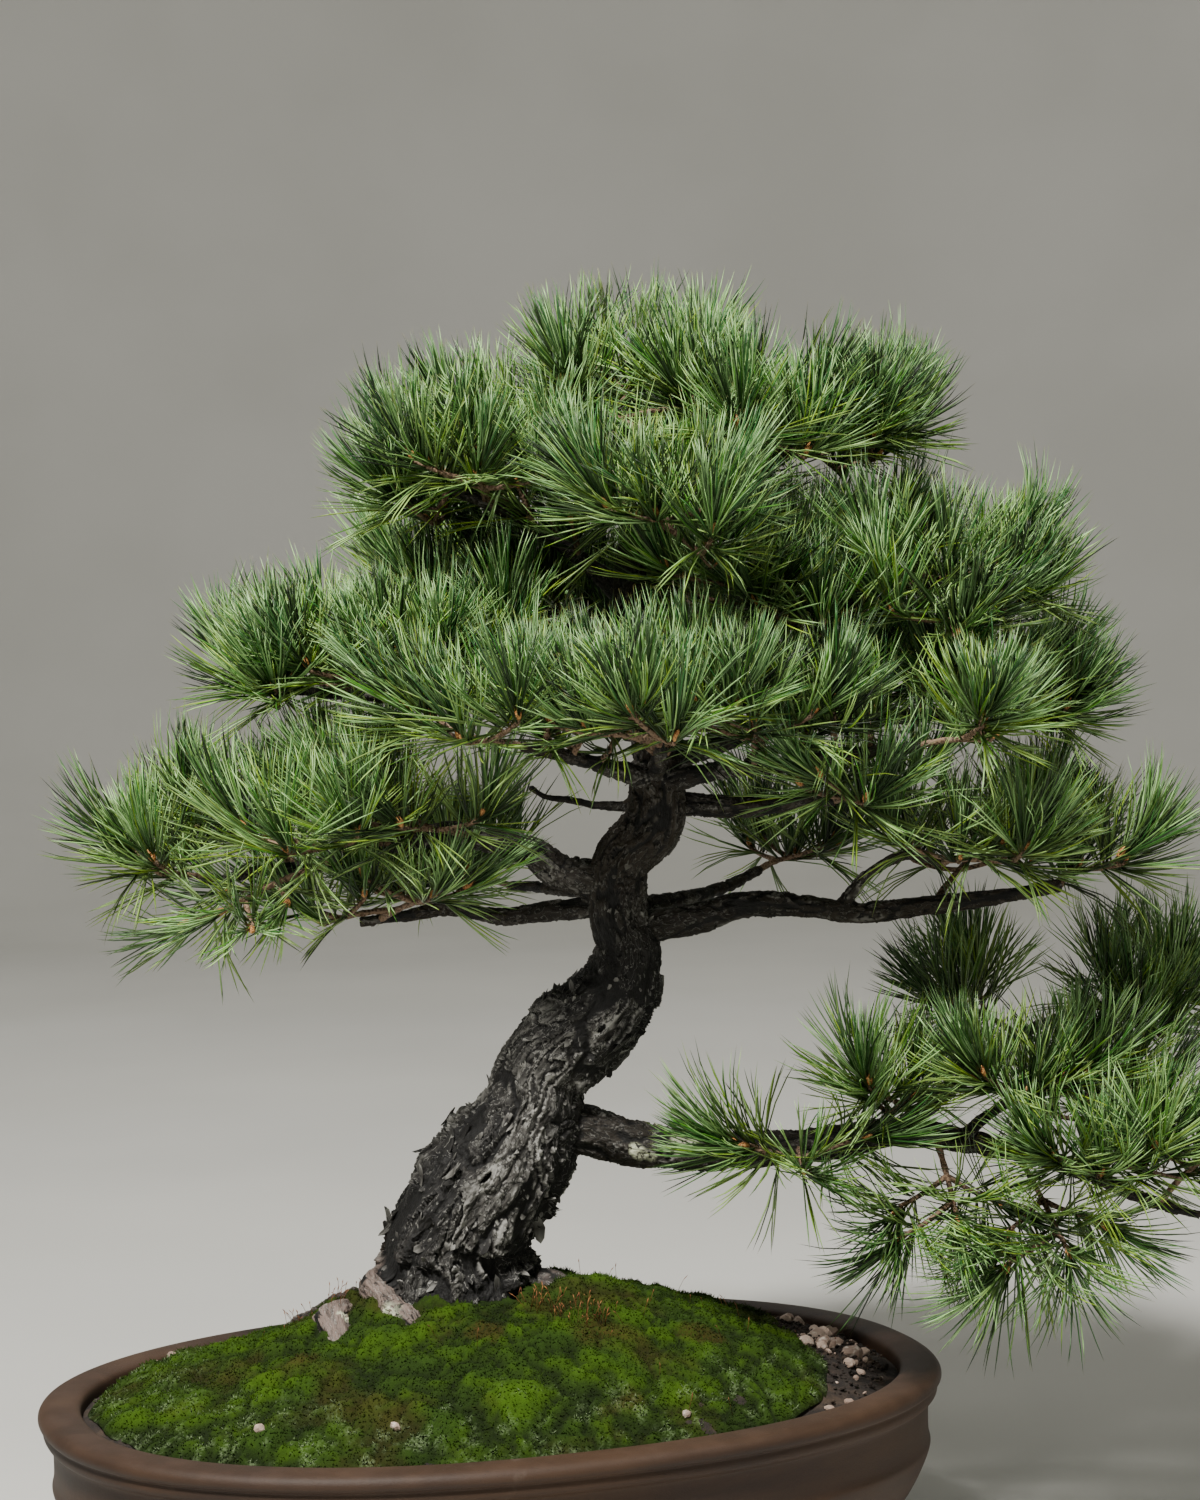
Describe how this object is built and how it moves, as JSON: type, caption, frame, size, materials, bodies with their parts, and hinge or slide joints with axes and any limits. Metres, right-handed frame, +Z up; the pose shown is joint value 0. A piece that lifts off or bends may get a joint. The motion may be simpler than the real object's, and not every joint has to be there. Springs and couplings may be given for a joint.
{
  "type": "bonsai pine tree in a pot",
  "caption": "Five-needle pine trained as a slanting bonsai, planted in moss-covered soil in an oval unglazed stoneware pot with small feet.",
  "frame": {"origin": "middle of the overall outline seen from above, at the height of the feet's undersides", "axes": "+X along the pot's length towards the low, long branch; +Y to the back of the tree; +Z up"},
  "size_m": [0.7672, 0.488, 0.7538],
  "materials": {
    "stoneware": "matt unglazed brown stoneware",
    "screen": "dull woven plastic mesh",
    "soil": "damp dark potting soil with pale grit",
    "moss": "soft living moss",
    "bark": "rough flaking bark",
    "needles_green": "satin living pine needles, yellow-green",
    "needles_blue_green": "satin living pine needles, blue-green"
  },
  "bodies": {
    "root": {"pot": "stoneware", "drain_screen_left": "screen", "drain_screen_right": "screen", "soil": "soil", "moss": "moss", "trunk": "bark", "spray_left_end": "needles_blue_green", "spray_left_back": "needles_blue_green", "spray_left_hanging": "needles_blue_green", "spray_left_front": "needles_blue_green", "spray_left_top": "needles_blue_green", "spray_left_inner": "needles_blue_green", "spray_left_low": "needles_blue_green", "spray_left_low_back": "needles_blue_green", "spray_mid_left_end": "needles_blue_green", "spray_mid_left_front": "needles_blue_green", "spray_mid_left_inner": "needles_blue_green", "spray_mid_left_back": "needles_blue_green", "spray_mid_left_top": "needles_blue_green", "spray_front_left": "needles_blue_green", "spray_front_middle": "needles_blue_green", "spray_front_inner_right": "needles_blue_green", "spray_front_right": "needles_blue_green", "spray_front_right_end": "needles_blue_green", "spray_right_end": "needles_blue_green", "spray_right_front": "needles_blue_green", "spray_right_back": "needles_blue_green", "spray_upper_right_end": "needles_blue_green", "spray_upper_right_front": "needles_blue_green", "spray_upper_right_inner": "needles_blue_green", "spray_upper_right_top": "needles_blue_green", "spray_low_mid_end": "needles_green", "spray_low_mid_front": "needles_green", "spray_low_mid_back": "needles_green", "spray_low_right_drooping": "needles_green", "spray_low_right_near": "needles_green", "spray_low_right_middle": "needles_green", "spray_low_right_front": "needles_green", "spray_low_right_hanging": "needles_green", "spray_low_right_under": "needles_green", "spray_low_right_upper": "needles_green", "spray_low_right_outer": "needles_green", "spray_low_right_end": "needles_green", "spray_low_right_back": "needles_green", "spray_low_right_far": "needles_green", "spray_upper_left_end": "needles_blue_green", "spray_upper_left_front": "needles_blue_green", "spray_upper_left_top": "needles_blue_green", "spray_crown_right_end": "needles_blue_green", "spray_crown_right_front": "needles_blue_green", "spray_crown_right_back": "needles_blue_green", "spray_crown_front": "needles_blue_green", "spray_back_middle": "needles_blue_green", "spray_back_left": "needles_blue_green", "spray_back_right": "needles_blue_green", "spray_back_crown": "needles_blue_green", "spray_back_low_right": "needles_blue_green", "spray_back_low_left": "needles_blue_green", "spray_apex": "needles_blue_green"}
  },
  "joints": []
}
